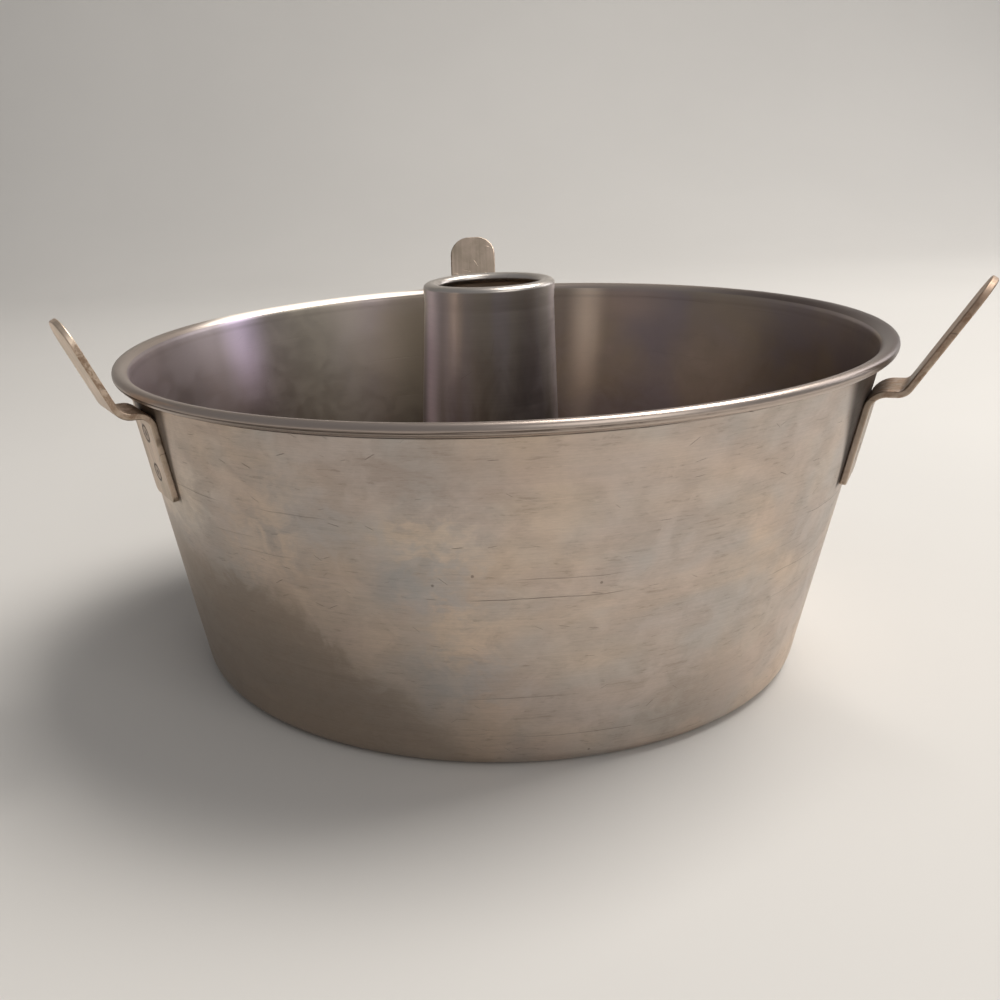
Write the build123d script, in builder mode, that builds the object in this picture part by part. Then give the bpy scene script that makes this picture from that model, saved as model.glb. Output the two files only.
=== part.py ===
from build123d import *
import math
import os

# Angel food cake pan: a tapered round shell with a rolled rim and a ledge turned in at the bottom, a loose
# floor disc with a tapered tube seamed to it, and three bent strap feet riveted to the outside of the wall.
# The upturned pan stands on the tips of its feet while the cake cools.
# Origin: on the pan's axis, level with the underside of the base. +Z is up, +Y points at the back foot.

# Shell
sheet = 1.2                     # thickness of the shell's metal
rim_diameter = 265.0            # over the rolled bead
base_diameter = 222.0           # where wall and base would meet without the rounded corner
height = 111.9                  # base to top of the bead
corner_radius = 6.0             # outside of the corner between base and wall
ledge_width = 15.0              # from the base circle inward
bead_width = 5.4
bead_height = 3.7
curl_gap = 0.35                 # between the curled edge and the sheet that it comes back to

# Floor disc
disc_sheet = 1.2
disc_clearance = 0.3            # beside the start of the corner
edge_round = 0.3                # broken edges of the disc

# Centre tube
tube_sheet = 1.0
tube_height = 129.9             # base to top of the lip
tube_top_radius = 22.3          # outside of the tube, level with its lip
tube_base_radius = 28.6         # outside of the tube, level with the top of the disc
lip_width = 5.2
lip_height = 3.4
lip_bulge = 0.5                 # how far the lip stands out past the tube
flange_width = 5.0              # turned out under the disc
flange_bend = 1.0               # inside radius between tube and flange
seam_width = 2.2                # ring pressed down on the disc
seam_height = 1.6

# Feet
strap_thickness = 2.1
strap_round = 0.5               # edges of the strap, worn round
leg_length = 28.5               # from the bend down the wall
shelf_length = 9.0              # from the leg out to the arm
leg_bend = 3.6                  # inside radius between leg and shelf
arm_bend = 4.5                  # inside radius between shelf and arm
leg_corner = 2.6
tip_corner = 8.6
tip_clearance = 1.9             # feet reach this far past the tube's lip and the rim
shelf_rise = 2.0                # degrees above level
# Each foot was cut, bent and riveted on by hand, so the three differ a little.
left_width = 18.6
right_width = 20.0
back_width = 20.8
left_azimuth = 210.0            # degrees from +X, seen from above
right_azimuth = 333.5           # degrees
back_azimuth = 90.0             # degrees
left_drop = 8.5                 # from the top of the bead down to the bend
right_drop = 13.5
back_drop = 9.9
left_lean = 66.0                # degrees between arm and level
right_lean = 60.5               # degrees
back_lean = 60.2                # degrees
left_overreach = 2.6            # the left foot's tip stands this much higher than the others
right_leg_bend = 4.5            # the right foot has a wide bend at the leg and a tight one at the arm
right_arm_bend = 2.2

# Rivets
shank_radius = 2.4
flush_radius = 2.7              # at the outer face of the strap
flare_depth = 0.8
flush_bevel = 0.25              # fine groove round the flush end
head_radius = 4.5               # inside the pan
head_height = 1.3
head_edge = 0.4
first_rivet = 6.5               # from the bend down the leg
rivet_pitch = 13.1

overrun = 5.0                   # how far cutting shapes run past what they cut

os.makedirs("parts", exist_ok=True)


def save(builder, name):
    builder.part.label = name
    export_step(builder.part, f"parts/{name}.step")


# Wall line in the plane of radius and height
rim_radius = rim_diameter / 2
base_radius = base_diameter / 2
bead_level = height - bead_height / 2
wall_top_radius = rim_radius - bead_width + sheet
wall_slope = math.atan2(wall_top_radius - base_radius, bead_level)
wall_up = Vector(math.sin(wall_slope), math.cos(wall_slope))
wall_out = Vector(math.cos(wall_slope), -math.sin(wall_slope))


def wall_point(level):
    return Vector(base_radius + level * math.tan(wall_slope), level)


# The wall flares out into the bead, wide at the top inside and tighter round the outside, and the edge of the
# sheet comes back under the bead to just short of the wall.
roll_radius = bead_height / 2 - sheet
flare_lead = math.cos(wall_slope) - (1 - math.sin(wall_slope)) * math.tan(wall_slope)
flare_radius = (rim_radius - bead_height / 2 - wall_point(height - sheet).X) / flare_lead
flare_centre = Vector(rim_radius - bead_height / 2, height - sheet - flare_radius)
flare_start = flare_centre - wall_out * flare_radius
curl_level = height - sheet - roll_radius * 2
curl_reach = math.sqrt(flare_radius**2 - (curl_level - flare_centre.Y) ** 2) - curl_gap


def foot_plane(azimuth):
    # Upright plane through the pan's axis and the foot: x is the radius, y is the height
    turn = math.radians(azimuth)
    return Plane(
        origin=(0, 0, 0),
        x_dir=(math.cos(turn), math.sin(turn), 0),
        z_dir=(math.sin(turn), -math.cos(turn), 0),
    )


def rivet_plane(azimuth, drop, distance):
    # Plane on the wall's outer face whose y points straight out of it
    upright = foot_plane(azimuth)
    spot = wall_point(height - drop) - wall_up * distance
    outward = upright.x_dir * wall_out.X + Vector(0, 0, 1) * wall_out.Y
    return Plane(
        origin=upright.from_local_coords(spot),
        x_dir=upright.z_dir,
        z_dir=upright.z_dir.cross(outward),
    )


feet = {
    "left": (left_azimuth, left_drop),
    "right": (right_azimuth, right_drop),
    "back": (back_azimuth, back_drop),
}
strap_shapes = {
    "left": (left_width, left_lean, leg_bend, arm_bend, left_overreach),
    "right": (right_width, right_lean, right_leg_bend, right_arm_bend, 0),
    "back": (back_width, back_lean, leg_bend, arm_bend, 0),
}
rivet_distances = {"upper": first_rivet, "lower": first_rivet + rivet_pitch}

# Shell: base ledge, rounded corner, wall and rolled bead in one bent sheet
ledge_radius = base_radius - ledge_width


def sheet_line(depth):
    # Draws the sheet's bent line at a depth under its outer face, and gives its end under the bead
    corner = (base_radius - depth * (1 / math.cos(wall_slope) - math.tan(wall_slope)), depth)
    wall_end = flare_start - wall_out * depth
    wall = FilletPolyline((ledge_radius, depth), corner, wall_end, radius=corner_radius - depth)
    flare = JernArc(wall @ 1, wall % 1, flare_radius + depth, math.degrees(wall_slope) - 90)
    roll = JernArc(flare @ 1, flare % 1, roll_radius + depth, -180)
    end = (flare_centre.X - curl_reach, curl_level - depth)
    Line(roll @ 1, end)
    return end


with BuildPart() as pan_shell:
    with BuildSketch(Plane.XZ):
        with BuildLine():
            outer_end = sheet_line(0)
            inner_end = sheet_line(sheet)
            Line(outer_end, inner_end)
            Line((ledge_radius, 0), (ledge_radius, sheet))
        make_face()
    revolve(axis=Axis.Z)
    for azimuth, drop in feet.values():
        for distance in rivet_distances.values():
            spot = rivet_plane(azimuth, drop, distance)
            with BuildSketch(Plane(origin=spot.origin, x_dir=spot.x_dir, z_dir=spot.y_dir)):
                Circle(shank_radius)
            extrude(amount=overrun, both=True, mode=Mode.SUBTRACT)
save(pan_shell, "pan_shell")

# Floor disc, resting on the ledge inside the rounded corner
corner_reach = corner_radius / math.tan((math.pi / 2 + wall_slope) / 2)
disc_radius = base_radius - corner_reach - disc_clearance
disc_top = sheet + disc_sheet
hole_radius = tube_base_radius + flange_bend
with BuildPart() as base_disc:
    with BuildSketch(Plane.XY.offset(sheet)):
        Circle(disc_radius)
        Circle(hole_radius, mode=Mode.SUBTRACT)
    extrude(amount=disc_sheet)
    fillet(base_disc.edges().filter_by(GeomType.CIRCLE).sort_by(SortBy.RADIUS)[-2:], edge_round)
save(base_disc, "base_disc")

# Centre tube: flange under the disc, tapered wall, lip rolled inward
lip_level = tube_height - lip_height / 2
lip_radius = tube_top_radius + lip_bulge - lip_width / 2
tube_slope = (tube_base_radius - tube_top_radius) / (lip_level - disc_top)


def tube_point(level):
    return Vector(tube_top_radius + (lip_level - level) * tube_slope, level)


with BuildPart() as centre_tube:
    with BuildSketch(Plane.XZ):
        with BuildLine():
            outer = FilletPolyline(
                (tube_base_radius + flange_width, sheet),
                tube_point(sheet),
                tube_point(lip_level),
                radius=flange_bend,
            )
            offset(outer, amount=tube_sheet, side=Side.LEFT)
        make_face()
        with Locations((lip_radius, lip_level)):
            Ellipse(lip_width / 2, lip_height / 2)
            Ellipse(lip_width / 2 - tube_sheet, lip_height / 2 - tube_sheet, mode=Mode.SUBTRACT)
        gap_top = tube_point(lip_level) - Vector(tube_sheet, 0)
        gap_foot = tube_point(tube_height - lip_height - curl_gap) - Vector(tube_sheet, 0)
        with BuildLine():
            Polyline(
                gap_top,
                gap_foot,
                gap_foot - Vector(curl_gap, 0),
                gap_top - Vector(curl_gap, 0),
                close=True,
            )
        make_face(mode=Mode.SUBTRACT)
    with BuildSketch(Plane.XZ) as seam:
        with Locations((tube_base_radius - tube_sheet / 2, disc_top)):
            Rectangle(seam_width + flange_bend + tube_sheet / 2, seam_height, align=(Align.MIN, Align.MIN))
        fillet(seam.vertices().sort_by(Axis.X)[-2:].sort_by(Axis.Y)[-1:], seam_height / 2)
    revolve(axis=Axis.Z)
save(centre_tube, "centre_tube")

# Feet: one bent strap each, its leg hollowed to lie against the round wall
common_level = max(tube_height, height) + tip_clearance

for side, (azimuth, drop) in feet.items():
    strap_width, lean, lower_bend, upper_bend, overreach = strap_shapes[side]
    leg_wall_radius = wall_point(height - drop - leg_length / 2).X
    hug = leg_wall_radius - math.sqrt(leg_wall_radius**2 - (strap_width / 2) ** 2)
    tip_level = common_level + overreach
    upper_bend_outside = upper_bend + strap_thickness
    upright = foot_plane(azimuth)
    rise = math.radians(shelf_rise)
    tilt = math.radians(lean)
    bend = wall_point(height - drop) + wall_out * (strap_thickness - hug)
    heel = bend - wall_up * leg_length
    elbow = bend + Vector(math.cos(rise), math.sin(rise)) * shelf_length
    arm_length = (tip_level - elbow.Y - strap_thickness * math.cos(tilt)) / math.sin(tilt)
    tip = elbow + Vector(math.cos(tilt), math.sin(tilt)) * arm_length
    flat_length = arm_length - upper_bend_outside * math.tan((tilt - rise) / 2)
    with BuildPart() as foot:
        with BuildSketch(upright):
            with BuildLine():
                under = FilletPolyline(heel, bend, elbow, tip, radius=(lower_bend, upper_bend_outside))
                offset(under, amount=strap_thickness, side=Side.LEFT)
            make_face()
        extrude(amount=strap_width / 2, both=True)
        top_end = foot.faces().sort_by(Axis.Z)[-1]
        fillet(top_end.edges().sort_by(SortBy.LENGTH)[:2], min(tip_corner, flat_length - strap_round))
        low_end = foot.faces().sort_by(Axis.Z)[0]
        fillet(low_end.edges().sort_by(SortBy.LENGTH)[:2], leg_corner)
        sides = foot.faces().filter_by(Axis(upright.origin, upright.z_dir))
        fillet(sides.edges().filter_by(lambda edge: edge.length > strap_thickness + strap_round), strap_round)
        with BuildSketch(Plane.XZ):
            Polygon(
                (0, 0),
                wall_point(0),
                wall_point(height),
                (0, height),
                align=None,
            )
        revolve(axis=Axis.Z, mode=Mode.SUBTRACT)
        for distance in rivet_distances.values():
            spot = rivet_plane(azimuth, drop, distance)
            with BuildSketch(spot):
                Polygon(
                    (0, -overrun),
                    (shank_radius, -overrun),
                    (shank_radius, strap_thickness - hug - flare_depth),
                    (flush_radius, strap_thickness - hug),
                    (0, strap_thickness - hug),
                    align=None,
                )
            revolve(axis=Axis(spot.origin, spot.y_dir), mode=Mode.SUBTRACT)
    save(foot, f"foot_{side}")

    # Rivets: a low domed head inside the pan, a shank through wall and strap, and a flush end outside
    for row, distance in rivet_distances.items():
        spot = rivet_plane(azimuth, drop, distance)
        face = strap_thickness - hug
        with BuildPart() as rivet:
            with BuildSketch(spot):
                with BuildLine():
                    Polyline(
                        (head_radius, -sheet - head_edge),
                        (head_radius, -sheet / 2),
                        (shank_radius, -sheet / 2),
                        (shank_radius, face - flare_depth),
                        (flush_radius - flush_bevel / 2, face - flush_bevel),
                        (flush_radius - flush_bevel, face),
                        (0, face),
                        (0, -sheet - head_height),
                    )
                    TangentArc(
                        (0, -sheet - head_height),
                        (head_radius, -sheet - head_edge),
                        tangent=(1, 0),
                    )
                make_face()
            revolve(axis=Axis(spot.origin, spot.y_dir))
            add(pan_shell.part, mode=Mode.SUBTRACT)
        save(rivet, f"rivet_{side}_{row}")
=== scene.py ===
import bpy
import math
from mathutils import Matrix, Vector


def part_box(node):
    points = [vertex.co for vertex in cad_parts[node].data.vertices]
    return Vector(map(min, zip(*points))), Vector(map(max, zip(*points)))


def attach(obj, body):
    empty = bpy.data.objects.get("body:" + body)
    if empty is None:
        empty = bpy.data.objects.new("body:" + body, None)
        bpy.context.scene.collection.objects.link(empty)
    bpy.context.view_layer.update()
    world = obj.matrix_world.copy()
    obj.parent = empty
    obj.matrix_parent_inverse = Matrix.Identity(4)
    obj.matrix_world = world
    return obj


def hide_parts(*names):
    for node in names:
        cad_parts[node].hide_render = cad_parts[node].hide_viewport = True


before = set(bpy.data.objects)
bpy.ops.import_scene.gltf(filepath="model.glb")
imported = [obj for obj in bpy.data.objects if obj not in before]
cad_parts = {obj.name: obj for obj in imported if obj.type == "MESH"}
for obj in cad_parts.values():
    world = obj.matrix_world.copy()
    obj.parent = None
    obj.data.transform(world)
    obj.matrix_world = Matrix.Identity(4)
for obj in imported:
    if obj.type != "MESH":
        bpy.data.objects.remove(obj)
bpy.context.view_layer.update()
mm = 0.001
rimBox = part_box("pan_shell")
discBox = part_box("base_disc")
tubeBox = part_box("centre_tube")
print("frame loaded:", len(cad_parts), "nodes")

shellSizes = {
    "rimRadius": rimBox[1].x,
    "height": rimBox[1].z,
    "baseRadius": 111 * mm,
    "sheet": 1.2 * mm,
    "cornerRadius": 6 * mm,
    "ledgeWidth": 15 * mm,
    "beadWidth": 5.4 * mm,
    "beadHeight": 3.7 * mm,
    "curlGap": 0.35 * mm,
    "wallRows": 60,
    "steps": {"ledge": 6, "corner": 12, "flare": 16, "roll": 24, "tuck": 4, "beforeCurl": 4},
    "stepsRound": 384,
    "dentDepth": 0.35 * mm,
    "dentSize": 46 * mm,
    "dentSeed": 4.0,
    "fadeFrom": 118 * mm,  # dents lie between these two distances along the bent sheet
    "fadeTo": 238 * mm,
    "fadeWidth": 22 * mm,
    "pushOut": 1.0,
    "pushUp": 0.0,
}
beadLevel = shellSizes["height"] - shellSizes["beadHeight"] / 2
wallTop = shellSizes["rimRadius"] - shellSizes["beadWidth"] + shellSizes["sheet"]
wallSlope = math.atan2(wallTop - shellSizes["baseRadius"], beadLevel)

# Each foot is turned to its azimuth in degrees, and bends off the wall at its bend level. Painted shade
# spreads on the wall beside its strap. Its look offsets the patterns, and its tones, which are painted light
# and shade, and its brown on the arm, tarnish with painted shade, make it unlike the others
footSettings = ["azimuth", "halfWidth", "bendLevel", "look", "dirtReach", "dirtShare"]
footSettings += ["tone", "armTone", "armBrown"]
feet = {
    "left": (210.0, 9.3 * mm, 103.4 * mm, 1.0, 11 * mm, 0.75, 1.12, 1.45, 0.0),
    "right": (333.5, 10.0 * mm, 98.4 * mm, 4.0, 25 * mm, 1.0, 0.78, 1.0, 0.8),
    "back": (90.0, 10.4 * mm, 102.0 * mm, 7.0, 9 * mm, 0.6, 0.82, 0.84, 0.0),
}
feet = {side: dict(zip(footSettings, values)) for side, values in feet.items()}
legSizes = {"length": 28.5 * mm, "firstRivet": 6.5 * mm, "rivetPitch": 13.1 * mm, "rivetRadius": 2.7 * mm}


def addObject(name, data):
    added = bpy.data.objects.new(name, data)
    bpy.context.scene.collection.objects.link(added)
    return added


# Helpers for node trees

def addNode(tree, kind, inputs=None, **settings):
    node = tree.nodes.new(kind)
    for name, value in settings.items():
        setattr(node, name, value)
    for socket, value in (inputs or {}).items():
        if isinstance(value, bpy.types.NodeSocket):
            tree.links.new(value, node.inputs[socket])
        else:
            node.inputs[socket].default_value = value
    return node


def mathOf(tree, operation, first, second=0.0, third=0.0):
    return addNode(tree, "ShaderNodeMath", {0: first, 1: second, 2: third}, operation=operation).outputs[0]


def chainOf(tree, operation, values):
    result = values[0]
    for value in values[1:]:
        result = mathOf(tree, operation, result, value)
    return result


def product(tree, *values):
    return chainOf(tree, "MULTIPLY", values)


def largest(tree, *values):
    return chainOf(tree, "MAXIMUM", values)


def shifted(tree, base, amount, scale):
    # base moved by the amount times the scale
    return mathOf(tree, "MULTIPLY_ADD", amount, scale, base)


def plus(tree, first, second):
    return mathOf(tree, "ADD", first, second)


def minus(tree, first, second):
    return mathOf(tree, "SUBTRACT", first, second)


def ratio(tree, first, second):
    return mathOf(tree, "DIVIDE", first, second)


def absolute(tree, value):
    return mathOf(tree, "ABSOLUTE", value)


def centred(tree, share):
    return minus(tree, share, 0.5)


def vectorOf(tree, operation, *values, output="Vector"):
    return addNode(tree, "ShaderNodeVectorMath", dict(enumerate(values)), operation=operation).outputs[output]


def scaled(tree, vector, scale):
    return addNode(tree, "ShaderNodeVectorMath", {0: vector, "Scale": scale}, operation="SCALE").outputs[0]


def dividedBy(tree, vector, size):
    return scaled(tree, vector, ratio(tree, 1.0, size))


def turned(tree, vector, angle):
    inputs = {"Vector": vector, "Angle": angle}
    return addNode(tree, "ShaderNodeVectorRotate", inputs, rotation_type="Z_AXIS").outputs[0]


def split(tree, vector):
    return addNode(tree, "ShaderNodeSeparateXYZ", {0: vector}).outputs


def join(tree, x=0.0, y=0.0, z=0.0):
    return addNode(tree, "ShaderNodeCombineXYZ", {0: x, 1: y, 2: z}).outputs[0]


def flatOf(tree, parts):
    return join(tree, parts["X"], parts["Y"])


def lengthOf(tree, vector):
    return vectorOf(tree, "LENGTH", vector, output="Value")


def alongSheet(tree, parts):
    # distance along a bent sheet, near enough: out from the axis and up
    return plus(tree, lengthOf(tree, flatOf(tree, parts)), parts["Z"])


def noiseOf(tree, place, scale=1.0, detail=3.0, roughness=0.5, distortion=0.0, output="Fac"):
    inputs = {"Vector": place, "Scale": scale, "Detail": detail, "Roughness": roughness}
    inputs["Distortion"] = distortion
    return addNode(tree, "ShaderNodeTexNoise", inputs).outputs[output]


def cellsOf(tree, place, dimensions="3D"):
    # scattered cells, and three dice that fall differently in each
    inputs = {"Vector": place, "Scale": 1.0, "Randomness": 1.0}
    cells = addNode(tree, "ShaderNodeTexVoronoi", inputs, voronoi_dimensions=dimensions).outputs
    return cells, addNode(tree, "ShaderNodeSeparateColor", {0: cells["Color"]}).outputs


def fade(tree, value, low, high, fromValue=0.0, toValue=1.0):
    inputs = {"Value": value, "From Min": low, "From Max": high, "To Min": fromValue, "To Max": toValue}
    return addNode(tree, "ShaderNodeMapRange", inputs, interpolation_type="SMOOTHSTEP").outputs["Result"]


def band(tree, value, middle, halfWidth):
    # 1 at the middle, fading to 0 a half width away on both sides
    away = absolute(tree, minus(tree, value, middle))
    return fade(tree, away, 0.0, halfWidth, 1.0, 0.0)


def stripeOf(tree, turn, middle, halfTurn):
    # a band round the axis, given in degrees
    return band(tree, turn, math.radians(middle), math.radians(halfTurn))


def blend(tree, share, first, second, mode="MIX"):
    node = addNode(tree, "ShaderNodeMix", {0: share, 6: first, 7: second}, data_type="RGBA", blend_type=mode)
    return node.outputs[2]


def toned(tree, colour, tone):
    grey = addNode(tree, "ShaderNodeCombineColor", {0: tone, 1: tone, 2: tone}).outputs[0]
    return blend(tree, 1.0, colour, grey, "MULTIPLY")


def newGroup(name, inputs, outputs, kind="ShaderNodeTree"):
    # inputs and outputs are socket kinds, each with the names of its sockets
    tree = bpy.data.node_groups.new(name, kind)
    for direction, sockets in (("OUTPUT", outputs), ("INPUT", inputs)):
        for socketKind, names in sockets.items():
            for socketName in names:
                tree.interface.new_socket(
                    name=socketName, in_out=direction, socket_type="NodeSocket" + socketKind
                )
    return tree, tree.nodes.new("NodeGroupInput").outputs, tree.nodes.new("NodeGroupOutput").inputs


def useGroup(tree, group, inputs):
    return addNode(tree, "ShaderNodeGroup", inputs, node_tree=group).outputs


def paint(red, green, blue):
    # colour as it is read off a screen, 0 to 255, turned into Blender's linear values
    def linear(value):
        share = value / 255
        return share / 12.92 if share <= 0.04045 else ((share + 0.055) / 1.055) ** 2.4

    return (linear(red), linear(green), linear(blue), 1.0)


# Patterns that several finishes share

blotchNoise = {
    "broad": {"detail": 3.0, "roughness": 0.5, "distortion": 0.5},
    "fine": {"scale": 4.7, "detail": 5.0, "roughness": 0.6, "distortion": 0.8},
    "broadEdge": (0.36, 0.64),
    "fineEdge": (0.34, 0.66),
}
scratchSockets = ["Cell Width", "Cell Height", "Length", "Width", "Slant", "Share", "Offset"]
scratchShape = {
    "bend": (1.2 * mm, 1.2 * mm, 0.0),
    "bendScale": 90.0,
    "ends": (0.25, 0.5),
    "sides": (0.15, 0.5),
    "weakest": 0.3,
}
streakEdge = (0.34, 0.66)
pitEdge = (0.5, 1.0)


def makeAxisSpread():
    # unrolls a round piece: X runs round the axis, Y runs along the bent sheet
    tree, given, result = newGroup(
        "axisSpread", {"Vector": ["Position"], "Float": ["Mean Radius"]}, {"Vector": ["Spread"]}
    )
    parts = split(tree, given["Position"])
    turn = mathOf(tree, "ARCTAN2", parts["X"], product(tree, parts["Y"], -1.0))
    around = product(tree, turn, given["Mean Radius"])
    tree.links.new(join(tree, around, alongSheet(tree, parts)), result["Spread"])
    return tree


def makeTurnedLines():
    # fine lines that the spinning tool leaves round the axis
    tree, given, result = newGroup(
        "turnedLines",
        {"Vector": ["Position"], "Float": ["Streak Length", "Line Pitch", "Offset"]},
        {"Float": ["Lines"]},
    )
    parts = split(tree, given["Position"])
    lines = ratio(tree, alongSheet(tree, parts), given["Line Pitch"])
    place = join(
        tree,
        ratio(tree, parts["X"], given["Streak Length"]),
        ratio(tree, parts["Y"], given["Streak Length"]),
        plus(tree, lines, given["Offset"]),
    )
    tree.links.new(noiseOf(tree, place, detail=3.0, roughness=0.6), result["Lines"])
    return tree


def makeBlotches():
    # cloudy stains of handling and washing, broad and fine
    tree, given, result = newGroup(
        "blotches",
        {"Vector": ["Position"], "Float": ["Size", "Stretch", "Offset"]},
        {"Float": ["Broad", "Fine"]},
    )
    parts = split(tree, dividedBy(tree, given["Position"], given["Size"]))
    sideways = plus(tree, parts["X"], given["Offset"])
    place = join(tree, sideways, parts["Y"], product(tree, parts["Z"], given["Stretch"]))
    for name, socket in (("broad", "Broad"), ("fine", "Fine")):
        cloud = noiseOf(tree, place, **blotchNoise[name])
        tree.links.new(fade(tree, cloud, *blotchNoise[name + "Edge"]), result[socket])
    return tree


def makeStrayScratches():
    # one short scratch in some of the cells of a grid, each at its own slant, and a little bent
    tree, given, result = newGroup(
        "strayScratches", {"Vector": ["Spread"], "Float": scratchSockets}, {"Float": ["Scratch"]}
    )
    shape = scratchShape
    wander = noiseOf(tree, given["Spread"], shape["bendScale"], detail=1.0, output="Color")
    bent = vectorOf(tree, "MULTIPLY_ADD", wander, shape["bend"], given["Spread"])
    cell = join(tree, given["Cell Width"], given["Cell Height"], 1.0)
    offset = join(tree, given["Offset"], given["Offset"])
    moved = vectorOf(tree, "ADD", vectorOf(tree, "DIVIDE", bent, cell), offset)
    cells, dice = cellsOf(tree, moved, "2D")
    local = vectorOf(tree, "MULTIPLY", vectorOf(tree, "SUBTRACT", moved, cells["Position"]), cell)
    angle = product(tree, centred(tree, dice["Red"]), 2.0, given["Slant"])
    sides = split(tree, turned(tree, local, angle))
    strength = shifted(tree, shape["weakest"], dice["Blue"], 1.0 - shape["weakest"])
    length = product(tree, given["Length"], strength)
    reach = ratio(tree, absolute(tree, sides["X"]), length)
    across = ratio(tree, absolute(tree, sides["Y"]), given["Width"])
    body = product(
        tree, fade(tree, reach, *shape["ends"], 1.0, 0.0), fade(tree, across, *shape["sides"], 1.0, 0.0)
    )
    chosen = mathOf(tree, "LESS_THAN", dice["Green"], given["Share"])
    tree.links.new(product(tree, body, chosen, strength), result["Scratch"])
    return tree


def makePits():
    # small round pits, here and there
    tree, given, result = newGroup(
        "pits", {"Vector": ["Position"], "Float": ["Spacing", "Radius", "Share"]}, {"Float": ["Pit"]}
    )
    cells, dice = cellsOf(tree, dividedBy(tree, given["Position"], given["Spacing"]))
    size = ratio(tree, given["Radius"], given["Spacing"])
    body = fade(tree, ratio(tree, cells["Distance"], size), *pitEdge, 1.0, 0.0)
    chosen = mathOf(tree, "LESS_THAN", dice["Green"], given["Share"])
    tree.links.new(product(tree, body, chosen), result["Pit"])
    return tree


def makeFootPlace():
    # where a spot lies on a foot: across the strap, down its leg, and from the nearer rivet's axis
    tree, given, result = newGroup(
        "footPlace",
        {"Vector": ["Position"], "Float": ["Azimuth", "Bend Radius", "Bend Level"]},
        {"Float": ["Across", "Down", "From Rivet"]},
    )
    angle = product(tree, mathOf(tree, "RADIANS", given["Azimuth"]), -1.0)
    parts = split(tree, turned(tree, given["Position"], angle))
    fallen = minus(tree, given["Bend Level"], parts["Z"])
    inward = minus(tree, given["Bend Radius"], parts["X"])
    down = shifted(tree, product(tree, inward, math.sin(wallSlope)), fallen, math.cos(wallSlope))
    farSide = mathOf(tree, "LESS_THAN", parts["X"], 0.0)
    down = plus(tree, down, farSide)  # a metre down, so that nothing shows across the pan
    reaches = []
    for row in (legSizes["firstRivet"], legSizes["firstRivet"] + legSizes["rivetPitch"]):
        reaches.append(lengthOf(tree, join(tree, parts["Y"], minus(tree, down, row))))
    tree.links.new(parts["Y"], result["Across"])
    tree.links.new(down, result["Down"])
    tree.links.new(mathOf(tree, "MINIMUM", *reaches), result["From Rivet"])
    return tree


def makeRisingStreaks():
    # soft broad streaks of painted reflection that run up a round wall
    tree, given, result = newGroup(
        "risingStreaks",
        {"Vector": ["Position"], "Float": ["Streaks", "Rise", "Offset"]},
        {"Float": ["Streak"]},
    )
    parts = split(tree, given["Position"])
    around = scaled(tree, vectorOf(tree, "NORMALIZE", flatOf(tree, parts)), given["Streaks"])
    raised = join(tree, given["Offset"], 0.0, ratio(tree, parts["Z"], given["Rise"]))
    waves = noiseOf(tree, vectorOf(tree, "ADD", around, raised), detail=2.0, roughness=0.45)
    tree.links.new(fade(tree, waves, *streakEdge), result["Streak"])
    return tree


axisSpread = makeAxisSpread()
footPlace = makeFootPlace()
risingStreaks = makeRisingStreaks()
turnedLines = makeTurnedLines()
blotches = makeBlotches()
strayScratches = makeStrayScratches()
pits = makePits()
print("patterns ready")


# Finishes. Each finish's dictionary gives its scratches in the order of scratchSockets

def scratchesOf(tree, spread, sizes):
    return useGroup(tree, strayScratches, {"Spread": spread, **dict(zip(scratchSockets, sizes))})["Scratch"]


def patternOf(tree, group, position, sizes):
    return useGroup(tree, group, {"Position": position, **sizes})


def coat(tree, colour, finish, name, amount):
    # the finish's colour of that name over an earlier colour
    return blend(tree, product(tree, amount, finish.get(name + "Share", 1.0)), colour, finish[name])


def newFinish(name):
    material = bpy.data.materials.new(name)
    material.use_nodes = True
    tree = material.node_tree
    tree.nodes.clear()
    output = tree.nodes.new("ShaderNodeOutputMaterial")
    shader = tree.nodes.new("ShaderNodeBsdfPrincipled")
    tree.links.new(shader.outputs[0], output.inputs["Surface"])
    position = tree.nodes.new("ShaderNodeTexCoord").outputs["Object"]
    return material, tree, shader, position


def dressMetal(tree, shader, colour, roughness, normal):
    tree.links.new(colour, shader.inputs["Base Color"])
    tree.links.new(roughness, shader.inputs["Roughness"])
    tree.links.new(normal, shader.inputs["Normal"])
    shader.inputs["Metallic"].default_value = 1.0


def sheetSides(tree):
    # attributes of the bent sheets: 1 on the left side of the outline's path, and 1 on the curl
    names = ("inside", "curl")
    return [addNode(tree, "ShaderNodeAttribute", attribute_name=name).outputs["Fac"] for name in names]


def placeOnFoot(tree, position, side):
    level = feet[side]["bendLevel"]
    radius = shellSizes["baseRadius"] + level * math.tan(wallSlope)
    azimuth = feet[side]["azimuth"]
    sizes = {"Azimuth": azimuth, "Bend Radius": radius, "Bend Level": level}
    return patternOf(tree, footPlace, position, sizes)


def bumpOf(tree, height, depth, earlier=None):
    inputs = {"Height": height, "Strength": 1.0, "Distance": depth}
    if earlier is not None:
        inputs["Normal"] = earlier
    return addNode(tree, "ShaderNodeBump", inputs).outputs[0]


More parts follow.
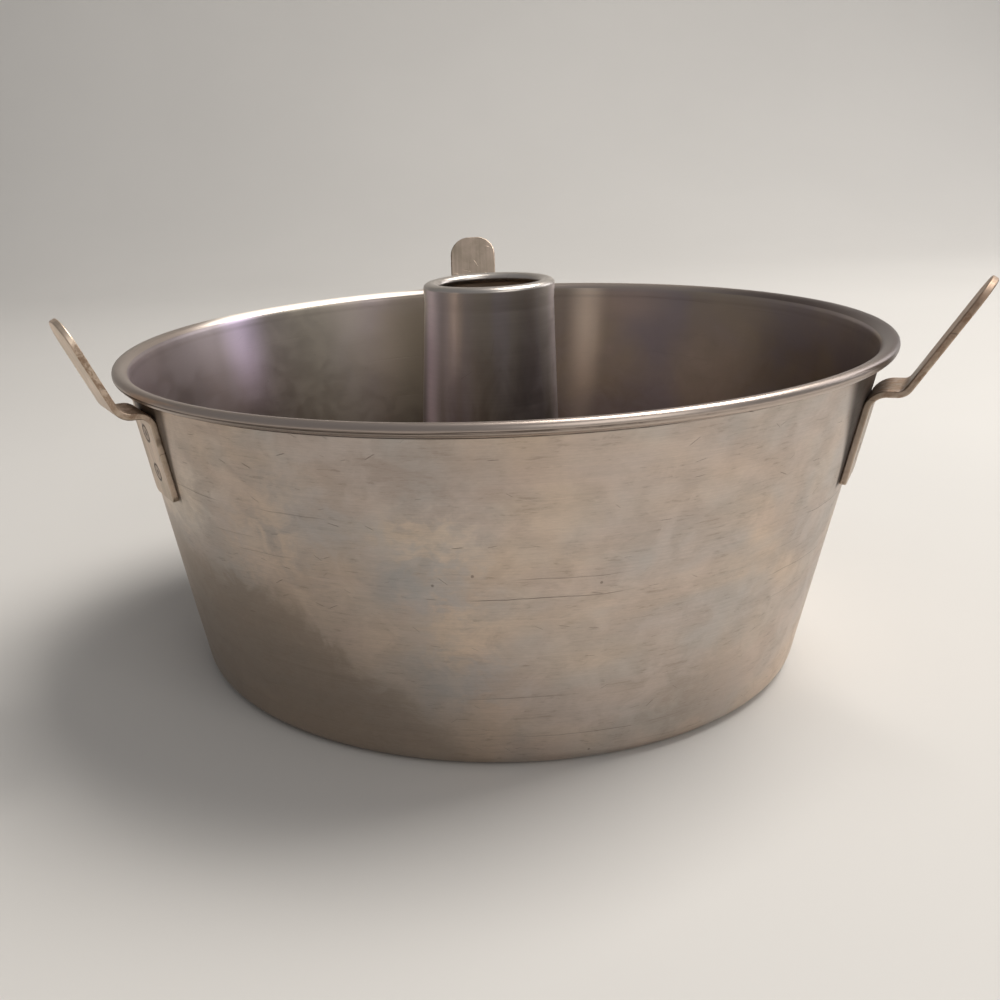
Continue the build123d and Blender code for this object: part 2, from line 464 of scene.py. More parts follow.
shellFinish = {
    "warm": paint(208, 190, 173),
    "cool": paint(188, 181, 175),
    "pink": paint(202, 184, 173),
    "smear": paint(118, 104, 93),
    "stain": paint(164, 150, 136),
    "pinkShare": 0.45,
    "smearShare": 0.32,
    "stainShare": 0.22,
    "insideClean": paint(172, 160, 160),
    "insideWorn": paint(178, 162, 144),
    "insideDull": paint(166, 154, 154),
    "baked": paint(122, 110, 100),
    "bead": paint(186, 172, 162),
    "dullBead": paint(118, 106, 102),
    "brightBead": paint(250, 242, 232),
    "grime": paint(54, 45, 39),
    "grimeShare": 0.88,
    "scratch": paint(92, 82, 74),
    "scratchShare": 0.5,
    "grooveTone": 0.26,
    "grainTone": 0.3,
    "outsideRoughness": 0.42,
    "insideRoughness": 0.33,
    "beadRoughness": 0.33,
    "wornRoughness": 0.3,  # added where the bead's highlight is painted, to spread it
    "grooveRoughness": 0.18,
    "stainRoughness": 0.07,
    "dirtRoughness": 0.2,
    "smoothShare": 0.75,  # how much smoother the inside and the bead are than the outer wall
    "grooveDepth": 0.02 * mm,
    "scratchDepth": 0.06 * mm,
    "turning": {"Streak Length": 45 * mm, "Line Pitch": 0.55 * mm, "Offset": 3.0},
    "cloudy": {"Size": 55 * mm, "Stretch": 1.3, "Offset": 2.0},
    "heat": {"Size": 26 * mm, "Stretch": 1.6, "Offset": 8.0},
    "specks": {"Spacing": 11 * mm, "Radius": 0.55 * mm, "Share": 0.3},
    "dashes": (9 * mm, 6 * mm, 4.4 * mm, 0.26 * mm, 0.8, 0.3, 0.0),
    "longOnes": (75 * mm, 9 * mm, 60 * mm, 0.4 * mm, 0.05, 0.45, 7.3),
    "meanRadius": 120 * mm,
    "drawnOut": (160.0, 900.0, 0.0),  # smears and grain are drawn out round the pan
    "smears": {"detail": 5.0, "roughness": 0.65, "distortion": 0.4},
    "smearEdge": (0.52, 0.7),
    "smearPatches": (0.2, 0.8),
    "grain": {"scale": 2.7, "detail": 4.0, "roughness": 0.7},
    "waveTurn": 0.09,
    "waveLevel": 7 * mm,
}
# Tints on the outer wall: turn and half turn in degrees round from +X, level and half height in mm,
# share, colour
outsideTints = [
    (-119, 9, 80, 26, 0.42, (174, 175, 178)),
    (-128, 8, 70, 20, 0.45, (228, 207, 186)),
    (-101, 11, 64, 11, 0.5, (174, 176, 178)),
    (-102, 10, 79, 9, 0.45, (230, 208, 184)),
    (-98, 7, 49, 13, 0.45, (228, 207, 184)),
    (-96, 9, 32, 11, 0.45, (176, 177, 179)),
    (-97, 20, 98, 16, 0.42, (172, 154, 143)),
    (-62, 16, 16, 26, 0.45, (156, 144, 132)),
    (-150, 20, 80, 24, 0.5, (236, 220, 200)),
]
# Painted reflections and painted shade up the inside: turn and half turn in degrees round from +X,
# low and high level in mm, share at the low and at the high level, colour
insidePaintedLight = [
    (162, 15, 20, 80, 0.5, 0.5, (138, 128, 126)),
    (143.5, 8, 66, 100, 0.0, 0.9, (240, 222, 242)),
    (127, 17, 20, 80, 0.5, 0.75, (204, 194, 175)),
    (102, 17, 20, 80, 0.85, 0.85, (112, 102, 88)),
    (66.5, 5, 50, 104, 0.2, 1.0, (252, 234, 214)),
    (58, 15, 92, 104, 0.0, 0.35, (226, 200, 178)),
]
# Painted shade low on one side, a painted reflection of a shadow: its edge is steep, and flatter farther to
# the side
lowPaintedShade = {
    "colour": paint(160, 146, 132),
    "share": 0.78,
    "steepSlant": 0.8,
    "flatSlant": 0.24,
    "flatRise": 38 * mm,
    "ragged": 9 * mm,
    "edge": (-4 * mm, 10 * mm),
    "sideways": (-60 * mm, 0.0),
    "farShare": 0.65,
}
# The inside is painted lighter on one side, where light falls, and is darker towards the floor and, as
# painted shade, towards the other side
insideLitAndDark = {
    "ragged": 30 * mm,
    "cleanSide": (-95 * mm, -10 * mm),
    "raggedLevel": 20 * mm,
    "levels": (10 * mm, 110 * mm),
    "share": 0.85,
    "sideways": (-100 * mm, -20 * mm),
    "nearShare": 0.55,
    "ringLevel": beadLevel - 3.2 * mm,
    "ringWidth": 1.2 * mm,
    "ringShare": 0.15,
}
beadPaintedLight = {"dullFrom": 80 * mm, "dullTo": 125 * mm, "polishedTurn": 126, "polishedHalfTurn": 38, "edge": 0.6}
# Painted shade in the seam under the bead, thickest on one side, and beside and behind the straps; the line
# on the bead is a painted dark reflection
shellPaintedShade = {
    "ragged": 40 * mm,
    "sideways": (10 * mm, 90 * mm),
    "farShare": 0.25,
    "patchFrom": (0.35, 0.6, 0.35, 1.0),
    "seamLevel": beadLevel - 0.45 * mm,  # darkest line of painted dark reflection on the bead's outer side
    "seamHalfHeight": 0.6 * mm,
    "seamEdge": (0.2, 0.7),
    "outerEdge": (shellSizes["rimRadius"] - 2 * mm, shellSizes["rimRadius"] - 1.2 * mm),
    "grooveLevel": beadLevel - 2.9 * mm,  # fine line pressed into the wall just under the bead, and darkened there as painted shade
    "grooveHalfHeight": 0.32 * mm,
    "edgeHalfWidth": 1.6 * mm,
    "edgeShare": 0.8,
    "topEdge": (-17 * mm, -9 * mm),
    "footEdge": (legSizes["length"] - 2 * mm, legSizes["length"] + 0.6 * mm),
    "reachFrom": -12 * mm,
    "lowReach": 0.2,  # how far the painted shade reaches at the leg's foot, of its reach under the bead
    "softFrom": 0.55,
    "behindWidth": 5 * mm,
    "behindTop": (-15 * mm, -6 * mm),
    "behindFoot": (0.0, 5 * mm),
    "behindShare": 0.9,
}


def colourOutside(tree, place, look):
    finish, low = shellFinish, lowPaintedShade
    cloudy, heat = look["cloudy"], look["heat"]
    colour = blend(tree, cloudy["Broad"], finish["warm"], finish["cool"])
    for name, pattern in (("pink", heat["Broad"]), ("smear", look["smears"]), ("stain", cloudy["Fine"])):
        colour = coat(tree, colour, finish, name, pattern)

    # the tints' edges waver
    turn = shifted(tree, place["turn"], centred(tree, cloudy["Fine"]), finish["waveTurn"])
    level = shifted(tree, place["level"], centred(tree, heat["Fine"]), finish["waveLevel"])
    for middle, halfTurn, height, halfHeight, share, tint in outsideTints:
        stripe = stripeOf(tree, turn, middle, halfTurn)
        row = band(tree, level, height * mm, halfHeight * mm)
        colour = blend(tree, product(tree, stripe, row, share), colour, paint(*tint))

    # painted shade low on one side of the outer wall
    steep = shifted(tree, place["level"], place["x"], low["steepSlant"])
    lowered = minus(tree, place["level"], low["flatRise"])
    flatter = shifted(tree, lowered, place["x"], low["flatSlant"])
    slanted = shifted(tree, largest(tree, steep, flatter), cloudy["Fine"], low["ragged"])
    below = fade(tree, slanted, *low["edge"], low["share"], 0.0)
    aside = fade(tree, place["x"], *low["sideways"], 1.0, low["farShare"])
    return blend(tree, product(tree, below, aside), colour, low["colour"])


def colourWithin(tree, place, look):
    finish, cloudy = shellFinish, look["cloudy"]
    worn = blend(tree, cloudy["Broad"], finish["insideWorn"], finish["insideDull"])
    sideways = shifted(tree, place["x"], cloudy["Broad"], insideLitAndDark["ragged"])
    # painted light: lighter on the side of the inside where light falls
    colour = blend(tree, fade(tree, sideways, *insideLitAndDark["cleanSide"]), finish["insideClean"], worn)
    # darker towards the floor, and darker as painted shade towards the other side
    level = shifted(tree, place["level"], cloudy["Fine"], insideLitAndDark["raggedLevel"])
    baked = product(
        tree,
        fade(tree, level, *insideLitAndDark["levels"], insideLitAndDark["share"], 0.0),
        fade(tree, sideways, *insideLitAndDark["sideways"], insideLitAndDark["nearShare"], 1.0),
    )
    colour = blend(tree, baked, colour, finish["baked"])
    # painted reflections and painted shade, stripe by stripe up the inside
    for middle, halfTurn, low, high, least, most, tint in insidePaintedLight:
        stripe = stripeOf(tree, place["turn"], middle, halfTurn)
        height = fade(tree, place["level"], low * mm, high * mm, least, most)
        colour = blend(tree, product(tree, stripe, height), colour, paint(*tint))
    ring = band(tree, place["level"], insideLitAndDark["ringLevel"], insideLitAndDark["ringWidth"])
    return blend(tree, product(tree, ring, insideLitAndDark["ringShare"]), colour, finish["baked"])


def paintedShadeOnShell(tree, position, place, look, outerWall):
    # how much painted shade lies on the shell, and where the fine line under the bead runs
    dirt = shellPaintedShade
    patchy = fade(tree, look["lines"], *dirt["patchFrom"])
    sideways = shifted(tree, place["x"], look["cloudy"]["Fine"], dirt["ragged"])
    oneSide = fade(tree, sideways, *dirt["sideways"], 1.0, dirt["farShare"])
    seam = band(tree, place["level"], dirt["seamLevel"], dirt["seamHalfHeight"])
    seam = fade(tree, seam, *dirt["seamEdge"])
    outerSide = fade(tree, place["reach"], *dirt["outerEdge"])
    groove = band(tree, place["level"], dirt["grooveLevel"], dirt["grooveHalfHeight"])
    groove = product(tree, groove, outerWall, oneSide)
    amount = largest(tree, product(tree, seam, place["curl"], outerSide, oneSide, patchy), groove)
    for side, foot in feet.items():
        spot = placeOnFoot(tree, position, side)
        down = spot["Down"]
        across = absolute(tree, spot["Across"])
        edge = product(tree, band(tree, across, foot["halfWidth"], dirt["edgeHalfWidth"]), dirt["edgeShare"])
        along = product(
            tree, fade(tree, down, *dirt["topEdge"]), fade(tree, down, *dirt["footEdge"], 1.0, 0.0)
        )
        # painted shade reaches farthest from the strap just under the bead, and comes closer to it down the
        # leg
        farthest = foot["dirtReach"]
        reach = fade(tree, down, dirt["reachFrom"], legSizes["length"], farthest, farthest * dirt["lowReach"])
        away = ratio(tree, minus(tree, across, foot["halfWidth"]), reach)
        near = fade(tree, away, dirt["softFrom"], 1.0, foot["dirtShare"], 0.0)
        beside = product(tree, largest(tree, edge, near), along, outerWall)
        behind = product(
            tree,
            fade(tree, across, foot["halfWidth"], foot["halfWidth"] + dirt["behindWidth"], 1.0, 0.0),
            fade(tree, down, *dirt["behindTop"]),
            fade(tree, down, *dirt["behindFoot"], 1.0, 0.0),
            outerWall,
            dirt["behindShare"],
        )
        amount = largest(tree, amount, beside, behind)
    return amount, groove


def makeShellFinish():
    finish = shellFinish
    material, tree, shader, position = newFinish("shellFinish")
    inside, curl = sheetSides(tree)
    parts = split(tree, position)
    place = {
        "x": parts["X"],
        "level": parts["Z"],
        "turn": mathOf(tree, "ARCTAN2", parts["Y"], parts["X"]),
        "reach": lengthOf(tree, flatOf(tree, parts)),
        "curl": curl,
    }
    spread = patternOf(tree, axisSpread, position, {"Mean Radius": finish["meanRadius"]})["Spread"]
    drawnOut = vectorOf(tree, "MULTIPLY", spread, finish["drawnOut"])
    cloudy = patternOf(tree, blotches, position, finish["cloudy"])
    smears = fade(tree, noiseOf(tree, drawnOut, **finish["smears"]), *finish["smearEdge"])
    look = {
        "lines": patternOf(tree, turnedLines, position, finish["turning"])["Lines"],
        "cloudy": cloudy,
        "heat": patternOf(tree, blotches, position, finish["heat"]),
        "smears": product(tree, smears, fade(tree, cloudy["Fine"], *finish["smearPatches"])),
    }
    colour = blend(tree, inside, colourOutside(tree, place, look), colourWithin(tree, place, look))

    # painted shade on the bead at one side, and a painted highlight on it at the back on the left
    beadShade = fade(tree, place["x"], beadPaintedLight["dullFrom"], beadPaintedLight["dullTo"])
    beadColour = blend(tree, beadShade, finish["bead"], finish["dullBead"])
    paintedHighlight = stripeOf(tree, place["turn"], beadPaintedLight["polishedTurn"], beadPaintedLight["polishedHalfTurn"])
    paintedHighlight = fade(tree, paintedHighlight, 0.0, beadPaintedLight["edge"])
    beadColour = blend(tree, paintedHighlight, beadColour, finish["brightBead"])
    colour = blend(tree, curl, colour, beadColour)

    notOuter = largest(tree, inside, curl)
    dirt, groove = paintedShadeOnShell(tree, position, place, look, minus(tree, 1.0, notOuter))
    # painted shade on the shell
    colour = coat(tree, colour, finish, "grime", dirt)
    rougher = minus(tree, 1.0, product(tree, notOuter, finish["smoothShare"]))
    grooves = product(tree, centred(tree, look["lines"]), rougher)
    grain = product(tree, centred(tree, noiseOf(tree, drawnOut, **finish["grain"])), rougher)
    tone = shifted(tree, shifted(tree, 1.0, grain, finish["grainTone"]), grooves, finish["grooveTone"])
    colour = toned(tree, colour, tone)
    dashes = scratchesOf(tree, spread, finish["dashes"])
    longOnes = scratchesOf(tree, spread, finish["longOnes"])
    specks = patternOf(tree, pits, position, finish["specks"])["Pit"]
    marks = product(tree, largest(tree, dashes, longOnes, specks), rougher)
    colour = coat(tree, colour, finish, "scratch", marks)

    roughness = fade(tree, inside, 0.0, 1.0, finish["outsideRoughness"], finish["insideRoughness"])
    roughness = shifted(tree, roughness, grooves, finish["grooveRoughness"])
    roughness = shifted(tree, roughness, cloudy["Fine"], finish["stainRoughness"])
    onBead = shifted(tree, finish["beadRoughness"], paintedHighlight, finish["wornRoughness"])
    roughness = shifted(tree, roughness, minus(tree, onBead, roughness), curl)
    roughness = shifted(tree, roughness, dirt, finish["dirtRoughness"])
    normal = bumpOf(tree, minus(tree, grooves, groove), finish["grooveDepth"])
    normal = bumpOf(tree, product(tree, marks, -1.0), finish["scratchDepth"], normal)
    dressMetal(tree, shader, colour, roughness, normal)
    return material


insertFinish = {
    "warm": paint(178, 168, 156),
    "cool": paint(176, 167, 166),
    "baked": paint(70, 61, 55),
    "bore": paint(200, 180, 160),
    "underside": paint(182, 170, 156),
    "rubbed": paint(244, 230, 230),
    "lip": paint(206, 198, 190),
    "scratch": paint(120, 110, 100),
    "scratchShare": 0.35,
    "raggedLevel": 12 * mm,
    "bakedLevels": (30 * mm, 128 * mm),
    "lineTone": (0.25, 0.75, 0.96, 1.03),
    "roughness": 0.37,
    "lipRoughness": 0.34,
    "lineRoughness": 0.12,
    "stainRoughness": 0.06,
    "lineDepth": 0.004 * mm,
    "scratchDepth": 0.02 * mm,
    "turning": {"Streak Length": 30 * mm, "Line Pitch": 0.7 * mm, "Offset": 11.0},
    "cloudy": {"Size": 38 * mm, "Stretch": 0.5, "Offset": 5.0},
    "streaks": {"Streaks": 2.3, "Rise": 110 * mm, "Offset": 3.7},
    "dashes": (14 * mm, 12 * mm, 7 * mm, 0.25 * mm, 1.4, 0.5, 4.0),
}
# Painted reflections and painted shade in stripes up the tube: turn and half turn in degrees round from +X,
# share, colour
tubeStripes = [(-152, 16, 1.0, "rubbed"), (-70, 42, 0.55, "baked"), (-18, 18, 0.6, "rubbed")]


def makeInsertFinish(name, meanRadius, leftSide, stripes=()):
    finish = insertFinish
    material, tree, shader, position = newFinish(name)
    inside, curl = sheetSides(tree)
    parts = split(tree, position)
    lines = patternOf(tree, turnedLines, position, finish["turning"])["Lines"]
    cloudy = patternOf(tree, blotches, position, finish["cloudy"])
    spread = patternOf(tree, axisSpread, position, {"Mean Radius": meanRadius})["Spread"]
    dashes = scratchesOf(tree, spread, finish["dashes"])
    # warm and cool streaks of painted reflection
    streak = patternOf(tree, risingStreaks, position, finish["streaks"])["Streak"]
    colour = blend(tree, streak, finish["warm"], finish["cool"])
    # darker towards the floor
    level = shifted(tree, parts["Z"], cloudy["Fine"], finish["raggedLevel"])
    colour = blend(tree, fade(tree, level, *finish["bakedLevels"], 1.0, 0.0), colour, finish["baked"])
    turn = mathOf(tree, "ARCTAN2", parts["Y"], parts["X"])
    # painted reflections and painted shade, stripe by stripe up the tube
    for middle, halfTurn, share, tint in stripes:
        stripe = stripeOf(tree, turn, middle, halfTurn)
        colour = blend(tree, product(tree, stripe, share), colour, finish[tint])
    colour = blend(tree, inside, colour, finish[leftSide])
    colour = blend(tree, curl, colour, finish["lip"])
    colour = toned(tree, colour, fade(tree, lines, *finish["lineTone"]))
    colour = coat(tree, colour, finish, "scratch", dashes)
    roughness = shifted(tree, finish["roughness"], centred(tree, lines), finish["lineRoughness"])
    roughness = shifted(tree, roughness, cloudy["Fine"], finish["stainRoughness"])
    roughness = shifted(tree, roughness, minus(tree, finish["lipRoughness"], roughness), curl)
    normal = bumpOf(tree, lines, finish["lineDepth"])
    normal = bumpOf(tree, product(tree, dashes, -1.0), finish["scratchDepth"], normal)
    dressMetal(tree, shader, colour, roughness, normal)
    return material


strapFinish = {
    "face": paint(206, 187, 170),
    "cool": paint(186, 170, 152),
    "brown": paint(150, 122, 100),
    "brownShare": 0.9,
    "dirt": paint(70, 56, 46),
    "dirtShare": 0.9,
    "scratch": paint(92, 78, 66),
    "dashShare": 0.55,
    "speckShare": 0.7,
    "roughness": 0.32,
    "grainRoughness": 0.2,
    "tarnishRoughness": 0.15,
    "grainDepth": 0.03 * mm,
    "drawnDepth": 0.6,  # depth of the drawn lines, of the grain's
    "scratchDepth": 0.05 * mm,
    "drawnWidth": 1.3 * mm,
    "drawnLength": 30 * mm,
    "drawnTone": (0.3, 0.7, 0.9, 1.06),
    "armStart": (-14 * mm, -7 * mm),
    "edgeFade": (-12 * mm, 2 * mm, 1.0, 0.25),
    "edgeRagged": 0.5 * mm,
    "edgeFrom": 0.25 * mm,
    "edgeTo": 0.15 * mm,
    "grainShare": 0.6,  # the rest is stains
    "edgeUneven": (0.3, 0.75, 0.2, 1.0),
    "bendMiddle": -2 * mm,
    "bendHalfWidth": 5 * mm,
    "bendShare": 0.95,
    "armFace": (-15 * mm, -8 * mm),
    "leastBrown": 0.7,
    "ringWidth": 0.7 * mm,
    "ringGap": 0.05 * mm,
    "cloudy": {"Size": 14 * mm, "Stretch": 1.0},
    "specks": {"Spacing": 7 * mm, "Radius": 0.5 * mm, "Share": 0.25},
    "grain": {"scale": 900.0, "detail": 4.0, "roughness": 0.65},
    "dashes": (5 * mm, 6 * mm, 5 * mm, 0.22 * mm, 1.57, 0.6),  # the foot's look is the offset
}


def makeStrapFinish(side):
    finish, foot = strapFinish, feet[side]
    material, tree, shader, position = newFinish(side + "StrapFinish")
    spot = placeOnFoot(tree, position, side)
    across, down = absolute(tree, spot["Across"]), spot["Down"]
    cloudy = patternOf(tree, blotches, position, {"Offset": foot["look"], **finish["cloudy"]})
    spread = join(tree, spot["Across"], down)
    dashes = scratchesOf(tree, spread, (*finish["dashes"], foot["look"]))
    specks = patternOf(tree, pits, position, finish["specks"])["Pit"]
    grain = noiseOf(tree, position, **finish["grain"])
    drawnAcross = ratio(tree, spot["Across"], finish["drawnWidth"])
    drawnAlong = ratio(tree, down, finish["drawnLength"])
    drawn = noiseOf(tree, join(tree, drawnAcross, drawnAlong, foot["look"]))

    colour = blend(tree, cloudy["Broad"], finish["face"], finish["cool"])
    # painted light and shade: each foot's tone and arm tone make it lighter where light falls on it and
    # darker in shade
    onArm = fade(tree, down, *finish["armStart"], foot["armTone"], foot["tone"])
    colour = toned(tree, colour, product(tree, fade(tree, drawn, *finish["drawnTone"]), onArm))

    # the arm's sheared edges and the bends have gone brown, the leg's edges much less
    edgeFrom, edgeTo = foot["halfWidth"] - finish["edgeFrom"], foot["halfWidth"] + finish["edgeTo"]
    sheared = fade(tree, shifted(tree, across, grain, finish["edgeRagged"]), edgeFrom, edgeTo)
    stains = product(tree, cloudy["Fine"], 1.0 - finish["grainShare"])
    uneven = fade(tree, shifted(tree, stains, grain, finish["grainShare"]), *finish["edgeUneven"])
    edges = product(tree, sheared, fade(tree, down, *finish["edgeFade"]), uneven)
    bends = band(tree, down, finish["bendMiddle"], finish["bendHalfWidth"])
    bends = product(tree, bends, cloudy["Fine"], finish["bendShare"])
    # brown on the arm's face: tarnish, with painted shade
    armFace = fade(tree, down, *finish["armFace"], foot["armBrown"], 0.0)
    armFace = product(tree, armFace, fade(tree, cloudy["Fine"], 0.0, 1.0, finish["leastBrown"], 1.0))
    tarnish = largest(tree, edges, bends, armFace)
    colour = coat(tree, colour, finish, "brown", tarnish)
    marks = largest(
        tree, product(tree, dashes, finish["dashShare"]), product(tree, specks, finish["speckShare"])
    )
    colour = blend(tree, marks, colour, finish["scratch"])
    ring = band(tree, spot["From Rivet"], legSizes["rivetRadius"] + finish["ringGap"], finish["ringWidth"])
    colour = coat(tree, colour, finish, "dirt", ring)
    roughness = shifted(tree, finish["roughness"], grain, finish["grainRoughness"])
    roughness = shifted(tree, roughness, tarnish, finish["tarnishRoughness"])
    normal = bumpOf(tree, shifted(tree, grain, drawn, finish["drawnDepth"]), finish["grainDepth"])
    normal = bumpOf(tree, product(tree, largest(tree, dashes, specks), -1.0), finish["scratchDepth"], normal)
    dressMetal(tree, shader, colour, roughness, normal)
    return material


rivetFinish = {
    "metal": paint(172, 152, 134),
    "middle": paint(92, 74, 62),
    "dirt": paint(58, 46, 40),
    "dirtShare": 0.9,
    "dirtWidth": 0.8 * mm,
    "ragged": 0.5 * mm,
    "middleEdge": (0.6 * mm, 1.7 * mm),
    "roughness": 0.3,
    "grainRoughness": 0.2,
    "grainDepth": 0.03 * mm,
    "grain": {"scale": 1400.0, "detail": 3.0, "roughness": 0.6},
    "cloudy": {"Size": 3 * mm, "Stretch": 1.0},
}


def makeRivetFinish(side):
    finish = rivetFinish
    material, tree, shader, position = newFinish(side + "RivetFinish")
    fromRivet = placeOnFoot(tree, position, side)["From Rivet"]
    cloudy = patternOf(tree, blotches, position, {"Offset": feet[side]["look"], **finish["cloudy"]})
    grain = noiseOf(tree, position, **finish["grain"])
    reach = shifted(tree, fromRivet, cloudy["Fine"], finish["ragged"])
    colour = blend(tree, fade(tree, reach, *finish["middleEdge"]), finish["middle"], finish["metal"])
    rim = band(tree, fromRivet, legSizes["rivetRadius"], finish["dirtWidth"])
    colour = coat(tree, colour, finish, "dirt", rim)
    roughness = shifted(tree, finish["roughness"], grain, finish["grainRoughness"])
    dressMetal(tree, shader, colour, roughness, bumpOf(tree, grain, finish["grainDepth"]))
    return material


print("finishes ready")


# Outlines of bent sheet, in the plane of radius and height

def arcPath(centre, radii, start, end, steps):
    turns = [math.radians(start + (end - start) * step / steps) for step in range(steps + 1)]
    return [(centre[0] + radii[0] * math.cos(turn), centre[1] + radii[1] * math.sin(turn)) for turn in turns]


def linePath(start, end, steps):
    return [
        (start[0] + (end[0] - start[0]) * step / steps, start[1] + (end[1] - start[1]) * step / steps)
        for step in range(steps + 1)
    ]


def joinPaths(*paths):
    joined = []
    for path in paths:
        for point in path:
            if not joined or math.dist(joined[-1], point) > 0.01 * mm:
                joined.append(point)
    return joined


def sheetOutline(path, thickness, curlFrom):
    # closed outline round a mid line; each point also carries whether it is on the left side, and on the curl
    left, right = [], []
    half = thickness / 2
    for step, point in enumerate(path):
        before, after = path[max(step - 1, 0)], path[min(step + 1, len(path) - 1)]
        length = math.dist(before, after)
        side = (-(after[1] - before[1]) / length * half, (after[0] - before[0]) / length * half)
        curl = 1.0 if step >= curlFrom else 0.0
        left.append((point[0] + side[0], point[1] + side[1], 1.0, curl))
        right.append((point[0] - side[0], point[1] - side[1], 0.0, curl))

    def roundEnd(end, neighbour, fromPoint, toPoint):
        away = (Vector(end) - Vector(neighbour)).normalized() * half
        first = Vector(fromPoint[:2]) - Vector(end)
        cap = []
        for share in (0.25, 0.5, 0.75):
            turn = math.pi * share
            spot = Vector(end) + first * math.cos(turn) + away * math.sin(turn)
            cap.append((spot[0], spot[1], fromPoint[2] * (1 - share) + toPoint[2] * share, fromPoint[3]))
        return cap

    far = roundEnd(path[-1], path[-2], left[-1], right[-1])
    near = roundEnd(path[0], path[1], right[0], left[0])
    return left + far + right[::-1] + near


# Geometry Nodes: an outline turned round the pan's axis, then dented a little

def makeTurnedSheet():
    tree, given, result = newGroup(
        "turnedSheet",
        {
            "Geometry": ["Outline"],
            "Float": ["Turn Radius", "Dent Depth", "Dent Size", "Dent Seed"]
            + ["Fade From", "Fade To", "Fade Width", "Push Out", "Push Up"],
            "Int": ["Steps Round"],
            "Material": ["Finish"],
        },
        {"Geometry": ["Piece"]},
        "GeometryNodeTree",
    )
    circle = {"Resolution": given["Steps Round"], "Radius": given["Turn Radius"]}
    rail = addNode(tree, "GeometryNodeCurvePrimitiveCircle", circle, mode="RADIUS").outputs[0]
    profile = addNode(tree, "GeometryNodeMeshToCurve", {"Mesh": given["Outline"]}).outputs[0]
    swept = addNode(tree, "GeometryNodeCurveToMesh", {"Curve": rail, "Profile Curve": profile}).outputs[0]
    position = tree.nodes.new("GeometryNodeInputPosition").outputs[0]
    parts = split(tree, position)
    outward = vectorOf(tree, "NORMALIZE", flatOf(tree, parts))
    along = alongSheet(tree, parts)
    inDents = dividedBy(tree, position, given["Dent Size"])
    place = vectorOf(tree, "ADD", inDents, join(tree, given["Dent Seed"]))
    waves = noiseOf(tree, place, detail=1.5, roughness=0.4)
    height = product(tree, centred(tree, waves), 2.0, given["Dent Depth"])
    start, end, width = given["Fade From"], given["Fade To"], given["Fade Width"]
    rise = fade(tree, along, start, plus(tree, start, width))
    fall = fade(tree, along, minus(tree, end, width), end, 1.0, 0.0)
    height = product(tree, height, rise, fall)
    sideways = scaled(tree, outward, product(tree, height, given["Push Out"]))
    upward = join(tree, 0.0, 0.0, product(tree, height, given["Push Up"]))
    offset = vectorOf(tree, "ADD", sideways, upward)
    piece = addNode(tree, "GeometryNodeSetPosition", {"Geometry": swept, "Offset": offset}).outputs[0]
    for kind in ("SetShadeSmooth", "RealizeInstances"):
        piece = addNode(tree, "GeometryNode" + kind, {"Geometry": piece}).outputs[0]
    finish = {"Geometry": piece, "Material": given["Finish"]}
    tree.links.new(addNode(tree, "GeometryNodeSetMaterial", finish).outputs[0], result["Piece"])
    return tree


def outlineMesh(name, outlines, turnRadius):
    # the sweep puts the outline's X outward and its Y downward
    points, edges, inside, curl = [], [], [], []
    for outline in outlines:
        first = len(points)
        points += [(spot[0] - turnRadius, -spot[1], 0.0) for spot in outline]
        edges += [(first + step, first + (step + 1) % len(outline)) for step in range(len(outline))]
        inside += [spot[2] for spot in outline]
        curl += [spot[3] for spot in outline]
    mesh = bpy.data.meshes.new(name)
    mesh.from_pydata(points, edges, [])
    mesh.attributes.new("inside", "FLOAT", "POINT").data.foreach_set("value", inside)
    mesh.attributes.new("curl", "FLOAT", "POINT").data.foreach_set("value", curl)
    return mesh


def growPiece(name, outlines, tree, values):
    # runs a Geometry Nodes tree on the outlines and keeps the plain mesh that it makes
    seed = addObject(name + "Seed", outlineMesh(name + "Outline", outlines, values["turnRadius"]))
    modifier = seed.modifiers.new(tree.name, "NODES")
    modifier.node_group = tree
    for item in tree.interface.items_tree:
        key = item.name[0].lower() + item.name[1:].replace(" ", "")
        if item.item_type == "SOCKET" and item.in_out == "INPUT" and key in values:
            modifier[item.identifier] = values[key]
    graph = bpy.context.evaluated_depsgraph_get()
    grown = seed.evaluated_get(graph)
    plain = bpy.data.meshes.new_from_object(grown, preserve_all_data_layers=True, depsgraph=graph)
    plain.name = name
    piece = addObject(name, plain)
    seed.modifiers.remove(modifier)
    bpy.data.objects.remove(seed)
    print(name, "made with", len(plain.polygons), "faces")
    return piece


turnedSheet = makeTurnedSheet()


# Shell: ledge, rounded corner, wall and rolled bead in one sheet

